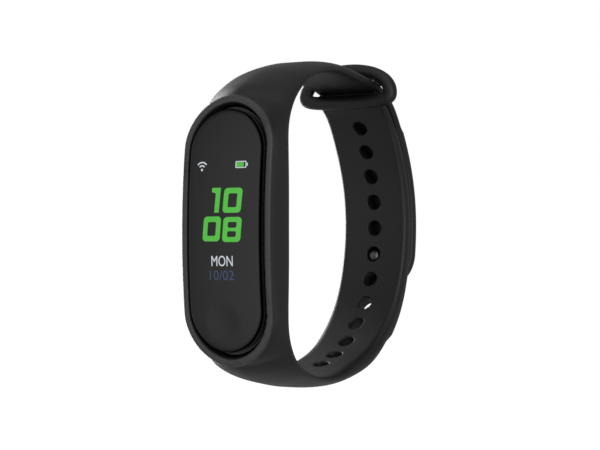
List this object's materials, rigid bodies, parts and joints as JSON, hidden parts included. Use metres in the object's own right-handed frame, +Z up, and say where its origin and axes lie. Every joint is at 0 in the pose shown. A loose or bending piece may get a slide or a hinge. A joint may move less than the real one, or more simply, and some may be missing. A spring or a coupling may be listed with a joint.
{
  "type": "fitness tracker band",
  "caption": "Wrist fitness tracker: an oval display capsule in a silicone band whose plain strap threads a keeper ring and is held by a stud.",
  "frame": {"origin": "middle of the wrist passage", "axes": "+X along the wrist, -Y the way the display faces, +Z up along the display, towards the end where the plain strap leaves"},
  "size_m": [0.023, 0.0633, 0.0657],
  "materials": {
    "silicone": "fine matte moulded silicone",
    "lens": "smoked glossy cover",
    "housing": "fine spark-eroded texture",
    "foam": "black adhesive foam",
    "frame": "moulded, satin",
    "display": "polished glass panel",
    "polyimide": "amber flexible film",
    "copper": "bare copper",
    "board": "green solder mask",
    "chip": "moulded package",
    "ceramic": "fired ceramic",
    "battery": "foil pouch",
    "red_wire": "insulated wire",
    "black_wire": "insulated wire",
    "steel": "drawn steel",
    "tungsten": "sintered",
    "led": "clear encapsulant",
    "window": "dark optical window",
    "gold": "gold plated",
    "stud": "dark turned metal"
  },
  "bodies": {
    "band": {"band_cradle": "silicone", "lower_strap": "silicone", "keeper_ring": "silicone", "upper_strap": "silicone"},
    "tracker": {"lower_housing": "housing", "front_lens": "lens", "lens_gasket": "foam", "inner_frame": "frame", "display_panel": "display", "display_backing": "foam", "display_flex": "polyimide", "touch_electrode": "copper", "main_board": "board", "radio_chip": "chip", "flash_memory": "chip", "accelerometer": "chip", "crystal": "steel", "chip_antenna": "ceramic", "battery_cell": "battery", "battery_lead_positive": "red_wire", "battery_lead_negative": "black_wire", "motor_case": "steel", "sensor_board": "board", "green_led_1": "led", "green_led_2": "led", "photodiode": "chip", "light_baffle": "foam", "sensor_window": "window", "contact_positive": "gold", "contact_negative": "gold", "contact_spring_positive": "copper", "contact_spring_negative": "copper"},
    "tail": {"tail_strap": "silicone", "clasp_stud": "stud"},
    "motor_rotor": {"motor_shaft": "steel", "motor_weight": "tungsten"}
  },
  "joints": [
    {"name": "tracker_release", "type": "slide", "parent": "band", "child": "tracker", "axis": [0, -1, 0], "range_m": [0, 0.014]},
    {"name": "tail_peel", "type": "hinge", "parent": "band", "child": "tail", "pos_m": [0, 0.01775, 0.02617], "axis": [1, 0, 0], "range_deg": [0, 80]},
    {"name": "motor_spin", "type": "hinge", "parent": "tracker", "child": "motor_rotor", "pos_m": [0, -0.0256, -0.0157], "axis": [1, 0, 0], "continuous": true}
  ]
}
